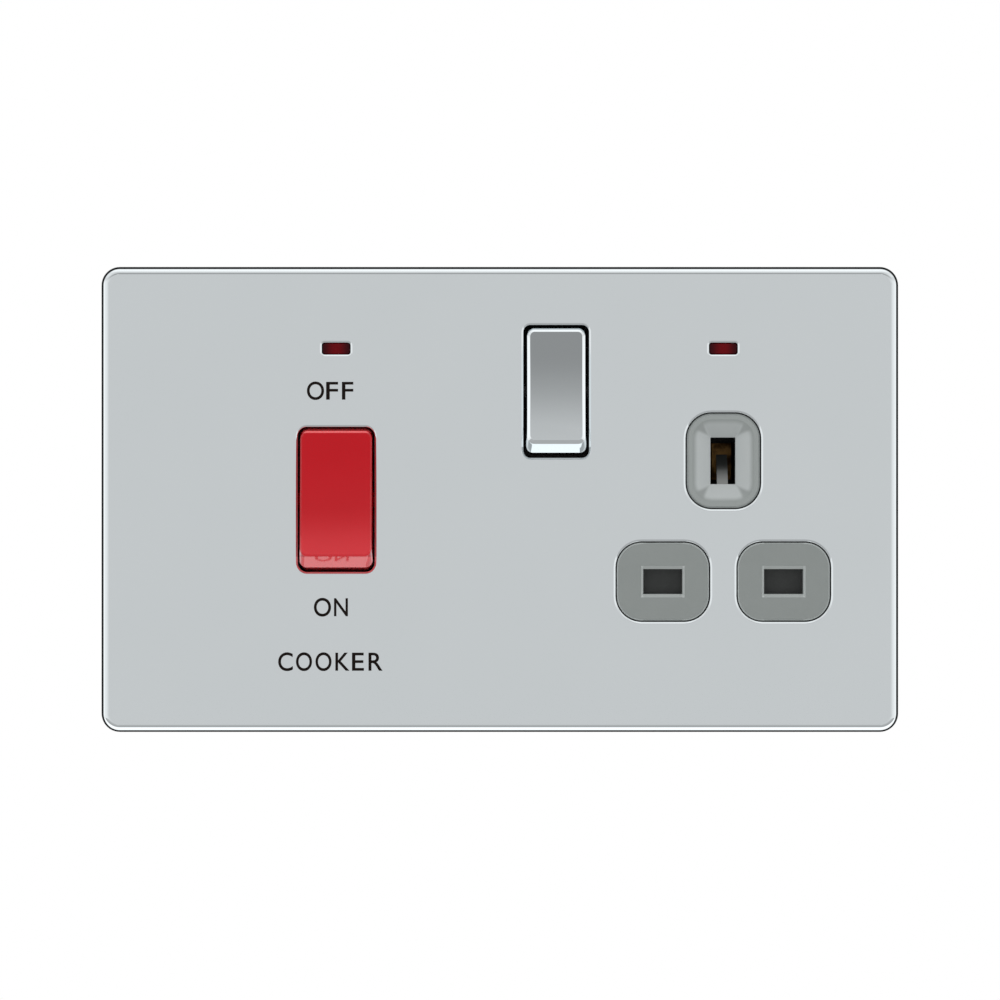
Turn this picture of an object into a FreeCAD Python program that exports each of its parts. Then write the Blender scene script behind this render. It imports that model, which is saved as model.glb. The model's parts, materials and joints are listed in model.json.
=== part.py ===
import FreeCAD, Part
import math
import os
from FreeCAD import Vector

os.makedirs("parts", exist_ok=True)

# Face plate
PLATE_WIDTH = 146.5
PLATE_HEIGHT = 85.5
PLATE_CORNER = 3.4
PLATE_PROUD = 4.2
SHEET = 1.2
EDGE_ROLL = 1.6
RIM_BREAK = 0.35

# Places of the controls, those in height from the edges of the tray
COOKER_X = -30.05
SWITCH_X = 10.35
SOCKET_X = 41.05
PIN_PITCH = 22.2
SWITCH_DROP = 15.65
PIN_RISE = 20.4
NEON_DROP = 7.8

# Openings in the face plate
COOKER_HOLE_W = 14.1
COOKER_HOLE_H = 26.65
SWITCH_HOLE_W = 12.06
SWITCH_HOLE_H = 24.4
PAD_HOLE_W = 17.4
PAD_HOLE_H = 14.8
EARTH_HOLE_W = 13.9
EARTH_HOLE_H = 17.8
PAD_CORNER = 4.8
NEON_W = 5.27
NEON_H = 2.2
RESISTOR_STEP = 12.5

# Plug pin slots
SLOT_W = 7.2
SLOT_H = 4.6
EARTH_SLOT_W = 4.6
EARTH_SLOT_H = 8.6
SHUTTER_TRAVEL = 6.0
COIL_RUNS = 10

# Rockers
ROCKER_TILT = 9.5
BAR_TILT = 8.0
END_SLOPE = 0.45
ROCKER_SHOULDER = 3.0
SLEEVE_R = 2.0
COOKER_LIFT = 6.8
SWITCH_LIFT = 6.3
POLE_PITCH = 8.4
COOKER_FLANGE = 2.2
SWITCH_FLANGE = 1.8

# Wall fixing and base
FIXING_PITCH = 120.6
FIXING_R = 2.0
BASE_DEPTH = 24.0
BASE_HEIGHT = 71.0
BASE_WALL = 2.0

# Terminals
BLOCK_W = 8.6
BLOCK_H = 9.5
BLOCK_PITCH = 10.8
CABLE_R = 2.9
BORE_END = 1.0
STRAP_W = 4.0
EARTH_DROP = 5.1
EARTH_DROP_W = 3.5
FORK_HALF = 2.4
LEAF_LAP = 4.2

# Clearances
SLIDE = 0.2
RUN = 0.05
PAD_GAP = 0.25

# Depths, from the wall plane at zero to the room at minus
FACE = -PLATE_PROUD
SKIN_BACK = FACE + SHEET
WEB_BACK = -1.0
PLATE_REAR = -0.3
PAD_FACE = FACE + 0.2
PIVOT_Y = -0.2
FLANGE_BACK = 0.8
GUIDE_BACK = 3.0
WELL_BACK = 6.0
WELL_FLOOR = 0.9
FLOOR = BASE_DEPTH - BASE_WALL
BAR_Y = FLOOR - 9.0
STRAP_Y = FLOOR - 6.2
STRAP_T = 1.0
DEEP_Y = FLOOR - 2.5
EARTH_STRAP_Y = FLOOR - 9.6
BORE_Y = FLOOR - 6.0
BLOCK_FRONT = FLOOR - 10.0

# Places worked out from the face
BASE_TOP = BASE_HEIGHT / 2
SWITCH_Z = BASE_TOP - SWITCH_DROP
PIN_ROW_Z = PIN_RISE - BASE_TOP
NEON_Z = BASE_TOP - NEON_DROP
EARTH_Z = PIN_ROW_Z + PIN_PITCH
LIVE_X = SOCKET_X + PIN_PITCH / 2
NEUTRAL_X = SOCKET_X - PIN_PITCH / 2
FRAME_W = PLATE_WIDTH - 2 * SHEET - 0.6
FRAME_H = PLATE_HEIGHT - 2 * SHEET - 0.6
BASE_LEFT = COOKER_X - 18.0
BASE_STEP_X = SOCKET_X + 13.7
BASE_RIGHT = SOCKET_X + 23.4
BASE_STEP_Z = -5.7
LIVE_POLE = COOKER_X + POLE_PITCH / 2
NEUTRAL_POLE = COOKER_X - POLE_PITCH / 2
BLOCK_MID = COOKER_X
LIVE_BLOCK = BLOCK_MID + BLOCK_PITCH / 2
NEUTRAL_BLOCK = BLOCK_MID - BLOCK_PITCH / 2
BLOCK_INNER = BASE_TOP - BASE_WALL - 3.5 - BLOCK_H
BLOCK_OUTER = BLOCK_INNER + BLOCK_H
EARTH_BLOCK_X = SOCKET_X - 16.9
EARTH_BLOCK_W = 18.0
EARTH_BORES = (EARTH_BLOCK_X - 4.5, EARTH_BLOCK_X + 4.5)
BUTTON_ARM = 7.5
BUTTON_R = 1.3
BUTTON_T = 0.7
BAR_T = 1.0
RIB_R = 1.0
POSTS = (
    (BASE_LEFT + 4.0, -BASE_TOP + 4.0),
    (BASE_LEFT + 4.0, BASE_TOP - 4.0),
    (BASE_STEP_X - 4.0, BASE_TOP - 4.0),
    (BASE_RIGHT - 4.0, -BASE_TOP + 4.0),
)
NEON_XS = (COOKER_X, SOCKET_X)
RESISTOR_XS = (COOKER_X + RESISTOR_STEP, SOCKET_X - RESISTOR_STEP)
REAR = Vector(0, 1, 0)
RIGHT = Vector(1, 0, 0)
UP = Vector(0, 0, 1)


def block(x0, x1, y0, y1, z0, z1):
    return Part.makeBox(x1 - x0, y1 - y0, z1 - z0, Vector(x0, y0, z0))


def slab(x, z, width, height, y0, y1):
    return block(x - width / 2, x + width / 2, y0, y1, z - height / 2, z + height / 2)


def rod(radius, x, y, z, direction, length):
    return Part.makeCylinder(radius, length, Vector(x, y, z), direction)


def rounded_wire(x, z, width, height, radius, y):
    w = width / 2 - radius
    h = height / 2 - radius
    s = radius * math.sqrt(0.5)
    edges = []
    for sx, sz, quarter in ((1, 1, 0), (-1, 1, 1), (-1, -1, 2), (1, -1, 3)):
        centre = Vector(x + sx * w, y, z + sz * h)
        flat = Vector(sx * radius, 0, 0)
        tall = Vector(0, 0, sz * radius)
        first, last = (flat, tall) if quarter % 2 == 0 else (tall, flat)
        middle = centre + Vector(sx * s, 0, sz * s)
        edges.append(Part.Arc(centre + first, middle, centre + last).toShape())
    joined = []
    for index, arc in enumerate(edges):
        following = edges[(index + 1) % 4]
        joined.append(arc)
        joined.append(Part.makeLine(arc.Vertexes[-1].Point, following.Vertexes[0].Point))
    return Part.Wire(joined)


def rounded(x, z, width, height, radius, y0, y1):
    face = Part.Face(rounded_wire(x, z, width, height, radius, y0))
    return face.extrude(Vector(0, y1 - y0, 0))


# Block whose four sides lean between two depths
def leaning(x, z, first, last):
    (w0, h0, y0), (w1, h1, y1) = first, last
    corners = [(-w0, y0), (w0, y0), (w1, y1), (-w1, y1)]
    points = [Vector(x + w / 2, y, z - h0 - h1) for w, y in corners]
    plan = Part.Face(Part.makePolygon(points + points[:1])).extrude(UP * 2 * (h0 + h1))
    side = [(y0, z - h0 / 2), (y0, z + h0 / 2), (y1, z + h1 / 2), (y1, z - h1 / 2)]
    return plan.common(extruded_x(side, x - w0 - w1, x + w0 + w1))


# Ruled funnel between two rounded outlines, each of width, height, corner and depth
def funnel(x, z, first, last):
    wires = [rounded_wire(x, z, width, height, corner, y) for width, height, corner, y in (first, last)]
    return Part.makeLoft(wires, True, True)


def fused(shapes):
    return shapes[0].multiFuse(shapes[1:]).removeSplitter()


def extruded_x(points, x0, x1):
    corners = [Vector(x0, y, z) for y, z in points]
    return Part.Face(Part.makePolygon(corners + corners[:1])).extrude(Vector(x1 - x0, 0, 0))


def edges_on_plane(shape, y):
    return [e for e in shape.Edges if abs(e.BoundBox.YMin - y) < 1e-4 and abs(e.BoundBox.YMax - y) < 1e-4]


def save(name, shape):
    shape.exportStep("parts/" + name + ".step")


# Openings shared by the plate and what stands in them
def face_openings():
    return (
        (COOKER_X, 0.0, COOKER_HOLE_W, COOKER_HOLE_H, 1.7),
        (SWITCH_X, SWITCH_Z, SWITCH_HOLE_W, SWITCH_HOLE_H, 1.3),
        (LIVE_X, PIN_ROW_Z, PAD_HOLE_W, PAD_HOLE_H, PAD_CORNER),
        (NEUTRAL_X, PIN_ROW_Z, PAD_HOLE_W, PAD_HOLE_H, PAD_CORNER),
        (SOCKET_X, EARTH_Z, EARTH_HOLE_W, EARTH_HOLE_H, PAD_CORNER),
        (COOKER_X, NEON_Z, NEON_W, NEON_H, 0.5),
        (SOCKET_X, NEON_Z, NEON_W, NEON_H, 0.5),
    )


# Pressed plate with a rolled edge, a return all round and snap beads inside
def front_plate():
    outer = rounded(0, 0, PLATE_WIDTH, PLATE_HEIGHT, PLATE_CORNER, FACE, PLATE_REAR)
    outer = outer.makeFillet(EDGE_ROLL, edges_on_plane(outer, FACE))
    inner_w = PLATE_WIDTH - 2 * SHEET
    inner_h = PLATE_HEIGHT - 2 * SHEET
    inner = rounded(0, 0, inner_w, inner_h, PLATE_CORNER - SHEET, SKIN_BACK, 1)
    inner = inner.makeChamfer(EDGE_ROLL - SHEET, edges_on_plane(inner, SKIN_BACK))
    plate = outer.cut(inner)
    for x, z, w, h, r in face_openings():
        mouth = (w + 2 * RIM_BREAK, h + 2 * RIM_BREAK, r + RIM_BREAK, FACE)
        rim = funnel(x, z, mouth, (w, h, r, FACE + RIM_BREAK / 2))
        plate = plate.cut([rounded(x, z, w, h, r, FACE - 1, 0), rim])
    beads = []
    for x in snap_places():
        for side in (-1, 1):
            beads.append(rod(0.45, x - 4, -1.3, side * (inner_h / 2 + 0.05), RIGHT, 8))
    plate = fused([plate] + beads)
    notch = slab(0, -PLATE_HEIGHT / 2, 9, 4, -1.3, 1)
    return plate.cut(notch)


def snap_places():
    return (-PLATE_WIDTH * 0.33, 0.16 * PLATE_WIDTH, PLATE_WIDTH * 0.33)


# Frame on the wall: web, ring land, fixing bosses and windows
def clip_frame():
    radius = PLATE_CORNER - SHEET - 0.2
    ring = rounded(0, 0, FRAME_W, FRAME_H, radius, SKIN_BACK, 0)
    ring = ring.makeChamfer(0.6, edges_on_plane(ring, SKIN_BACK))
    ring = ring.cut(rounded(0, 0, FRAME_W - 6, FRAME_H - 6, 1.0, WEB_BACK, 1))
    sides = (-FIXING_PITCH / 2, FIXING_PITCH / 2)
    bosses = [rod(5.2, x, SKIN_BACK, 0, REAR, -SKIN_BACK) for x in sides]
    frame = fused([ring] + bosses + resistor_clips())
    cuts = [rod(FIXING_R, x, FACE, 0, REAR, PLATE_PROUD + 1) for x in sides]
    cuts += [rod(3.9, x, FACE, 0, REAR, SHEET + 1.4) for x in sides]
    cuts.append(slab(COOKER_X, 0, cooker_tube()[0] + 0.3, cooker_tube()[1] + 0.3, FACE, 1))
    cuts.append(slab(SWITCH_X, SWITCH_Z, switch_tube()[0] + 0.3, switch_tube()[1] + 0.3, FACE, 1))
    for x, z, w, h, r in face_openings()[2:5]:
        cuts.append(rounded(x, z, w - PAD_GAP, h - PAD_GAP, r - PAD_GAP / 2, FACE, 1))
    for x in NEON_XS:
        cuts.append(slab(x, NEON_Z, NEON_W, NEON_H, FACE, 1))
    cuts.append(slab(strap_place()[0], strap_place()[1], 5.4, 3.6, FACE, 1))
    for x, z in POSTS:
        cuts.append(rod(1.5, x, SKIN_BACK + 0.4, z, REAR, 5))
    for x in snap_places():
        for side in (-1, 1):
            cuts.append(rod(0.75, x - 4.3, -1.3, side * (PLATE_HEIGHT / 2 - SHEET + 0.05), RIGHT, 8.6))
    return frame.cut(cuts)


# Snap cradles for the neon resistors on the back of the web
def resistor_clips():
    clips = []
    for x in RESISTOR_XS:
        for z in (NEON_Z - 1.85, NEON_Z + 1.85):
            clips.append(slab(x, z, 3.0, 1.1, WEB_BACK - 0.5, WEB_BACK + 1.9))
    return clips


# Wells in which the rockers swing, with slots in their floors for the plunger sleeves
def cooker_tube():
    return COOKER_HOLE_W + 3.2, COOKER_HOLE_H + 3.1


def switch_tube():
    return SWITCH_HOLE_W + 3.2, SWITCH_HOLE_H + 2.3


def well(x, z, tube, wall_x, wall_z, bearing_r, flange, sleeves):
    width, height = tube
    outer = rounded(x, z, width, height, 2.4, SKIN_BACK, WELL_BACK)
    sides = slab(x, z, width + 2 * flange, height * 0.7, WEB_BACK, FLANGE_BACK)
    inside = rounded(x, z, width - 2 * wall_x, height - 2 * wall_z, 1.4, FACE, WELL_BACK - WELL_FLOOR)
    bearing = rod(bearing_r, x - width, PIVOT_Y, z, RIGHT, 2 * width)
    lean = math.radians(ROCKER_TILT)
    swing = (WELL_BACK - PIVOT_Y) * math.tan(lean) + SLEEVE_R / math.cos(lean) + 2 * SLIDE
    slots = [slab(x + dx, z, 2 * (SLEEVE_R + SLIDE), 2 * swing, 0, WELL_BACK + 1) for dx in sleeves]
    return fused([outer, sides]).cut([inside, bearing] + slots)


# Tilting rocker shell about a pivot at the origin, face towards the room
def rocker_shell(face_w, base_w, base_half, lift, wall, skirt, bevel):
    shoulder = ROCKER_SHOULDER
    crest = lift + 0.5
    face_half = base_half - END_SLOPE * (lift - shoulder)
    crest_half = base_half - END_SLOPE * (crest - shoulder)
    shell = leaning(0, 0, (base_w, 2 * base_half, -shoulder), (face_w, 2 * crest_half, -crest))
    corners = [edge for edge in shell.Edges if edge.BoundBox.YLength > 1]
    shell = shell.makeFillet(1.4, corners)
    crown_r = face_half ** 2 / 0.5
    crown = rod(crown_r, -base_w, crown_r - lift, 0, RIGHT, 2 * base_w)
    shell = shell.common(crown)
    front = min(shell.Faces, key=lambda face: face.CenterOfMass.y)
    shell = shell.makeChamfer(bevel, front.Edges)
    if skirt > -shoulder:
        shell = fused([shell, rounded(0, 0, base_w - 0.1, 2 * base_half - 0.1, 1.4, -shoulder, skirt)])
    hollow_w = face_w - 2 * wall
    hollow_h = 2 * (face_half - wall)
    return shell.cut(rounded(0, 0, hollow_w, hollow_h, 0.8, -lift + wall + 0.3, skirt + 1))


def tilted(shape, x, y, z, angle):
    turned = shape.copy()
    turned.rotate(Vector(0, 0, 0), RIGHT, angle)
    turned.translate(Vector(x, y, z))
    return turned


def cooker_size():
    base_w = COOKER_HOLE_W - 0.6
    return base_w - 0.5, base_w, COOKER_HOLE_H / 2 - 0.18


def switch_size():
    base_w = SWITCH_HOLE_W - 0.8
    return base_w - 0.85, base_w, SWITCH_HOLE_H / 2 - 0.25


def tip_reach():
    return BAR_Y - BAR_T - 0.12 - PIVOT_Y


# Sleeve for a sprung plunger, hanging below the rocker
def sleeve(x, roof):
    return rod(SLEEVE_R, x, roof, 0, REAR, tip_reach() - 4.0 - roof)


def sleeve_bore(x, roof):
    return rod(1.3, x, roof + 1.2, 0, REAR, tip_reach())


def plunger(x):
    shank = rod(1.2, x, tip_reach() - 7.7, 0, REAR, 6.5)
    nose = Part.makeCone(1.2, 0.4, 1.2, Vector(x, tip_reach() - 1.2, 0), REAR)
    return shank.fuse(nose).removeSplitter()


# Coil spring of square wire, bent in short runs about the upright axis
def coil(radius, wire, length, turns):
    runs = turns * COIL_RUNS
    points = []
    for index in range(runs + 1):
        angle = 2 * math.pi * index / COIL_RUNS
        rise = wire / 2 + (length - wire) * index / runs
        points.append(Vector(radius * math.cos(angle), radius * math.sin(angle), rise))
    path = Part.makePolygon(points)
    out = Vector(wire / 2, 0, 0)
    up = Vector(0, 0, wire / 2)
    corners = [points[0] + step for step in (out + up, up - out, -out - up, out - up)]
    section = Part.makePolygon(corners + corners[:1])
    return path.makePipeShell([section], True, False, 1)


def plunger_spring(x, roof):
    gap = tip_reach() - 7.7 - (roof + 1.2)
    spring = coil(0.9, 0.4, gap - 0.1, 3)
    spring.rotate(Vector(0, 0, 0), RIGHT, -90)
    spring.translate(Vector(x, roof + 1.25, 0))
    return spring


def poles():
    return (-POLE_PITCH / 2, POLE_PITCH / 2)


def cooker_rocker():
    face_w, base_w, half = cooker_size()
    shell = rocker_shell(face_w, base_w, half, COOKER_LIFT, 1.5, 2.3, 0.25)
    roof = -COOKER_LIFT + 1.7
    reach = cooker_tube()[0] / 2 - 0.1
    axle = rod(1.5, -reach, 0, 0, RIGHT, 2 * reach)
    shell = fused([shell, axle] + [sleeve(x, roof) for x in poles()])
    return shell.cut([sleeve_bore(x, roof) for x in poles()])


# Chrome cap over the socket switch carrier
def switch_cap():
    face_w, base_w, half = switch_size()
    return rocker_shell(face_w, base_w, half, SWITCH_LIFT, 1.0, -2.0, 0.5)


def switch_carrier():
    face_w, base_w, half = switch_size()
    face_half = half - END_SLOPE * (SWITCH_LIFT - ROCKER_SHOULDER)
    plug_w = face_w - 2.0 - 2 * RUN
    plug_h = 2 * (face_half - 1.0) - 2 * RUN
    roof = -SWITCH_LIFT + 1.3 + RUN
    plug = rounded(0, 0, plug_w, plug_h, 0.75, roof, -2.0)
    skirt = rounded(0, 0, base_w - 0.5, 2 * half - 1.2, 1.3, -2.0, 2.2)
    reach = switch_tube()[0] / 2 - 0.1
    axle = rod(1.4, -reach, 0, 0, RIGHT, 2 * reach)
    body = fused([plug, skirt])
    body = body.cut(rounded(0, 0, base_w - 3.3, 2 * half - 4.0, 0.8, -2.6, 3))
    body = fused([body, axle, sleeve(0, -2.8)])
    return body.cut(sleeve_bore(0, -2.8))


# Seesaw contact bar with a half-round rib that rocks in its saddle
def contact_bar(x, width):
    arm = BUTTON_ARM + 2.0
    bar = block(x - width / 2, x + width / 2, -BAR_T, 0, -arm, arm)
    return fused([bar, rod(RIB_R, x - width / 2, 0, 0, RIGHT, width)])


def moving_button(x):
    return rod(BUTTON_R, x, 0, BUTTON_ARM, REAR, BUTTON_T)


def fixed_face():
    lean = math.radians(BAR_TILT)
    return BAR_Y + BUTTON_T * math.cos(lean) + (BUTTON_ARM + BUTTON_R) * math.sin(lean) + 0.08


def fixed_button(x, z):
    front = fixed_face()
    return rod(BUTTON_R, x, front, z + BUTTON_ARM, REAR, STRAP_Y - front)


# Saddle on a strap, grooved for the rib of a bar
def saddle(x, z, width):
    post = slab(x, z, width, 4.4, BAR_Y + 0.35, STRAP_Y)
    return post.cut(rod(RIB_R + 0.1, x - width, BAR_Y, z, RIGHT, 2 * width))


def strap(x0, x1, z0, z1, y=STRAP_Y):
    return block(x0, x1, y, y + STRAP_T, z0, z1)


# Brass block with blind cable bores from its mouth and screw threads from behind
def terminal_block(x, width, side, bores):
    low, high = sorted((side * BLOCK_INNER, side * BLOCK_OUTER))
    body = block(x - width / 2, x + width / 2, BLOCK_FRONT, FLOOR, low, high)
    cuts = []
    for bore_x in bores:
        mouth = side * BLOCK_OUTER
        cuts.append(rod(CABLE_R, bore_x, BORE_Y, mouth + side, UP * -side, BLOCK_H - BORE_END + 1))
        cuts.append(rod(2.0, bore_x, BORE_Y, (low + high) / 2, REAR, 10))
    return body.cut(cuts)


def supply_terminal(pole, x):
    body = terminal_block(x, BLOCK_W, -1, (x,))
    tongue = strap(pole - 2.5, pole + 2.5, -BLOCK_INNER - 0.2, 2.2)
    return fused([body, tongue, saddle(pole, 0, 5.0)])


def load_terminal(pole, x):
    body = terminal_block(x, BLOCK_W, 1, (x,))
    tongue = strap(pole - 2.5, pole + 2.5, BUTTON_ARM - 2.2, BLOCK_INNER + 0.2)
    return fused([body, tongue])


def screw_places():
    middle = (BLOCK_INNER + BLOCK_OUTER) / 2
    rows = [(x, z) for x in (LIVE_BLOCK, NEUTRAL_BLOCK) for z in (-middle, middle)]
    return rows + [(x, -middle) for x in EARTH_BORES]


def terminal_screw(x, z):
    shank_y = BORE_Y + CABLE_R + 0.25
    shank = rod(1.9, x, shank_y, z, REAR, FLOOR - shank_y)
    head = rod(2.7, x, FLOOR, z, REAR, 1.7)
    slot = slab(x, z, 6, 0.8, FLOOR + 0.9, FLOOR + 3)
    return shank.fuse(head).removeSplitter().cut(slot)


# Live strip from the supply block to the saddle of the socket switch
def live_feed_bar():
    level = -(BLOCK_INNER + BLOCK_OUTER) / 2
    run = strap(LIVE_BLOCK + BLOCK_W / 2, SWITCH_X + 2, level - 2, level + 2)
    rise = strap(SWITCH_X - 2, SWITCH_X + 2, level - 2, SWITCH_Z + 2.2)
    return fused([run, rise, saddle(SWITCH_X, SWITCH_Z, 4.0)])


# Spring fork that grips a pin, profile in depth and half height
def fork_profile(mouth_y, back_y):
    throat_y = mouth_y + 2.4
    half = ((mouth_y, 2.7), (throat_y, 1.8), (back_y, 2.5))
    inner = list(half) + [(y, -h) for y, h in reversed(half)]
    outer = ((mouth_y, 3.5), (throat_y, 2.6), (back_y + STRAP_T, 3.3))
    return inner + [(y, -h) for y, h in outer] + [(y, h) for y, h in reversed(outer)]


def flat_fork(x, z, back_y):
    points = [(y, z + h) for y, h in fork_profile(GUIDE_BACK + 1.0, back_y)]
    return extruded_x(points, x - 3.2, x + 3.2)


def upright_fork(x, z, back_y):
    points = fork_profile(GUIDE_BACK + 1.0, back_y)
    corners = [Vector(x + h, y, z - 3.4) for y, h in points]
    return Part.Face(Part.makePolygon(corners + corners[:1])).extrude(Vector(0, 0, 6.8))


def live_pin_contact():
    top = SWITCH_Z + BUTTON_ARM
    drop_x = SOCKET_X + 5.3
    run = strap(SWITCH_X - 2, drop_x + 4, top - 2.4, top + 0.9)
    drop = strap(drop_x, drop_x + 4, PIN_ROW_Z - 2, top + 0.9)
    foot = strap(drop_x, LIVE_X, PIN_ROW_Z - 2, PIN_ROW_Z + 2)
    return fused([flat_fork(LIVE_X, PIN_ROW_Z, STRAP_Y), run, drop, foot])


def neutral_pin_contact():
    level = PIN_ROW_Z - STRAP_W / 2
    run = strap(NEUTRAL_BLOCK - 2, NEUTRAL_X, level - 1.4, level + 1.6, DEEP_Y)
    drop = strap(NEUTRAL_BLOCK - 2, NEUTRAL_BLOCK + 2, -BLOCK_INNER, level + 1.6, DEEP_Y)
    return fused([flat_fork(NEUTRAL_X, PIN_ROW_Z, DEEP_Y), run, drop])


def earth_pin_contact():
    low = EARTH_Z - EARTH_DROP
    left = EARTH_BLOCK_X - EARTH_BLOCK_W / 2
    run = strap(left, SOCKET_X - FORK_HALF, low, low + STRAP_W, EARTH_STRAP_Y)
    drop = strap(left, left + EARTH_DROP_W, -BLOCK_INNER, low + STRAP_W, EARTH_STRAP_Y)
    return fused([upright_fork(SOCKET_X, EARTH_Z, DEEP_Y), run, drop])


def earth_terminal():
    return terminal_block(EARTH_BLOCK_X, EARTH_BLOCK_W, -1, EARTH_BORES)


def strap_place():
    return EARTH_BLOCK_X, -BLOCK_OUTER + 1.4


# Leaf from the earth block that presses on the inside of the metal plate
def plate_earth_strap():
    x, z = strap_place()
    points = (
        (BLOCK_FRONT, z + LEAF_LAP),
        (BLOCK_FRONT, z - 0.3),
        (SKIN_BACK + 1.2, z - 0.3),
        (SKIN_BACK, z + 0.9),
        (SKIN_BACK, z + 1.6),
        (SKIN_BACK + 1.4, z + 0.3),
        (BLOCK_FRONT - 0.6, z + 0.3),
        (BLOCK_FRONT - 0.6, z + LEAF_LAP),
    )
    return extruded_x(points, x - 2, x + 2)


# Grey moulding with three pads, pin slots and a guide for the shutter
def socket_front():
    pads = []
    for x, z, w, h, r in face_openings()[2:5]:
        shape = rounded(x, z, w - 2 * PAD_GAP, h - 2 * PAD_GAP, r - PAD_GAP, PAD_FACE, WEB_BACK)
        pads.append(shape.makeChamfer(0.3, edges_on_plane(shape, PAD_FACE)))
    low, high = bar_span()
    bar_half = PIN_PITCH / 2 + 9.9
    bottom = low - SHUTTER_TRAVEL - 2.0
    top = EARTH_Z + EARTH_HOLE_H / 2 + 1.6
    bar_top = BASE_STEP_Z - BASE_WALL - 0.15
    body = block(SOCKET_X - bar_half, SOCKET_X + bar_half, WEB_BACK, GUIDE_BACK, bottom, bar_top)
    neck = block(SOCKET_X - 10.5, SOCKET_X + 10.5, WEB_BACK, GUIDE_BACK, bottom, top)
    front = fused([body, neck] + pads)
    half = shutter_half() + SLIDE
    cuts = [block(SOCKET_X - half, SOCKET_X + half, FLANGE_BACK, 9, low - SHUTTER_TRAVEL - 0.4, high + SLIDE)]
    stem_top = stem_span()[1] + 0.3
    cuts.append(slab(SOCKET_X, (low + stem_top) / 2, 8 + 2 * SLIDE, stem_top - low, FLANGE_BACK, 9))
    cuts.append(slab(SOCKET_X, EARTH_Z + 0.6, 6.4, EARTH_SLOT_H + 1.6, FLANGE_BACK, 9))
    cuts.append(slab(SOCKET_X, EARTH_Z, EARTH_SLOT_W, EARTH_SLOT_H, FACE, 9))
    cuts.append(earth_funnel())
    for x in (LIVE_X, NEUTRAL_X):
        cuts.append(slab(x, PIN_ROW_Z, SLOT_W, SLOT_H, FACE, 9))
        mouth = (SLOT_W + 0.95, SLOT_H + 1.35, PAD_FACE)
        cuts.append(leaning(x, PIN_ROW_Z, mouth, (SLOT_W, SLOT_H, PAD_FACE + 0.6)))
    front = front.cut(cuts)
    return fused([front, spring_peg()])


# Funnel of the earth pad, sharp at the slot and rounded at its mouth
def earth_funnel():
    mouth = (EARTH_HOLE_W - 2.6, EARTH_HOLE_H - 2.6, PAD_CORNER - 1.2, PAD_FACE)
    throat = (EARTH_SLOT_W + 0.02, EARTH_SLOT_H + 0.02, 0.3, PAD_FACE + 2.5)
    return funnel(SOCKET_X, EARTH_Z, mouth, throat)


def bar_span():
    return PIN_ROW_Z - 3.1, PIN_ROW_Z + 3.1


def stem_span():
    return PIN_ROW_Z, EARTH_Z - EARTH_SLOT_H / 2 - 0.3


def shutter_half():
    return PIN_PITCH / 2 + 5.1


def window_span():
    return bar_span()[1] - 0.8, stem_span()[1] - 1.5


def spring_peg():
    low = window_span()[0] + 0.4
    return slab(SOCKET_X, low + 0.8, 2.2, 1.6, FLANGE_BACK - 0.2, GUIDE_BACK)


# Shutter that hides the lower slots, with a ramp behind the earth slot
def shutter():
    front = FLANGE_BACK + SLIDE
    back = GUIDE_BACK - SLIDE
    low, high = bar_span()
    bar = block(SOCKET_X - shutter_half(), SOCKET_X + shutter_half(), front, back, low, high)
    stem_top = stem_span()[1]
    stem = block(SOCKET_X - 4, SOCKET_X + 4, front, back, low, stem_top)
    slope = (
        (front, stem_top - 1.4),
        (front, stem_top + 0.2),
        (front + 2.0, stem_top + 3.0),
        (front + 5.0, stem_top + 5.8),
        (front + 6.4, stem_top + 5.8),
        (front + 3.4, stem_top + 1.4),
        (back, stem_top - 1),
        (back, stem_top - 1.4),
    )
    ramp = extruded_x(slope, SOCKET_X - 1.0, SOCKET_X + 1.0)
    bottom, top = window_span()
    window = slab(SOCKET_X, (bottom + top) / 2, 3.2, top - bottom, 0, 9)
    return fused([bar, stem]).cut(window).fuse(ramp).removeSplitter()


def shutter_spring():
    peg_top = window_span()[0] + 2.0
    length = window_span()[1] - peg_top
    spring = coil(0.85, 0.4, length - 0.1, 5)
    spring.translate(Vector(SOCKET_X, (FLANGE_BACK + GUIDE_BACK) / 2 + 0.2, peg_top + 0.05))
    return spring


# Red window with two cheeks that hold its lamp
def neon_lens(x):
    window = rounded(x, NEON_Z, NEON_W - 0.3, NEON_H - 0.3, 0.4, PAD_FACE + 0.1, WEB_BACK)
    flange = slab(x, NEON_Z, 12.4, 5.6, WEB_BACK, WEB_BACK + 1.0)
    cheeks = [slab(x + side * 5.7, NEON_Z, 1.0, 4.4, WEB_BACK + 1.0, WEB_BACK + 6.2) for side in (-1, 1)]
    return fused([window, flange] + cheeks)


def neon_lamp(x):
    tube = rod(2.0, x - 3.0, WEB_BACK + 3.2, NEON_Z, RIGHT, 6.0)
    ends = []
    for side in (-1, 1):
        end = Vector(x + side * 3.0, WEB_BACK + 3.2, NEON_Z)
        ends.append(Part.makeCone(2.0, 0.9, 1.8, end, RIGHT * side))
    return fused([tube] + ends)


def neon_resistor(x):
    body = rod(1.1, x - 3.0, WEB_BACK + 1.2, NEON_Z, RIGHT, 6.0)
    lead = rod(0.3, x - 6.0, WEB_BACK + 1.2, NEON_Z, RIGHT, 12.0)
    return fused([body, lead])


# Tray outline with a step that keeps clear of the fixing lug of the wall box
def base_outline(inset, y0, y1):
    tall = block(BASE_LEFT + inset, BASE_STEP_X - inset, y0, y1, -BASE_TOP + inset, BASE_TOP - inset)
    low = block(BASE_LEFT + inset, BASE_RIGHT - inset, y0, y1, -BASE_TOP + inset, BASE_STEP_Z - inset)
    shape = tall.fuse(low).removeSplitter()
    upright = [e for e in shape.Edges if abs(e.BoundBox.YLength - (y1 - y0)) < 1e-4]
    return shape.makeFillet(2.6 - inset, upright)


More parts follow.
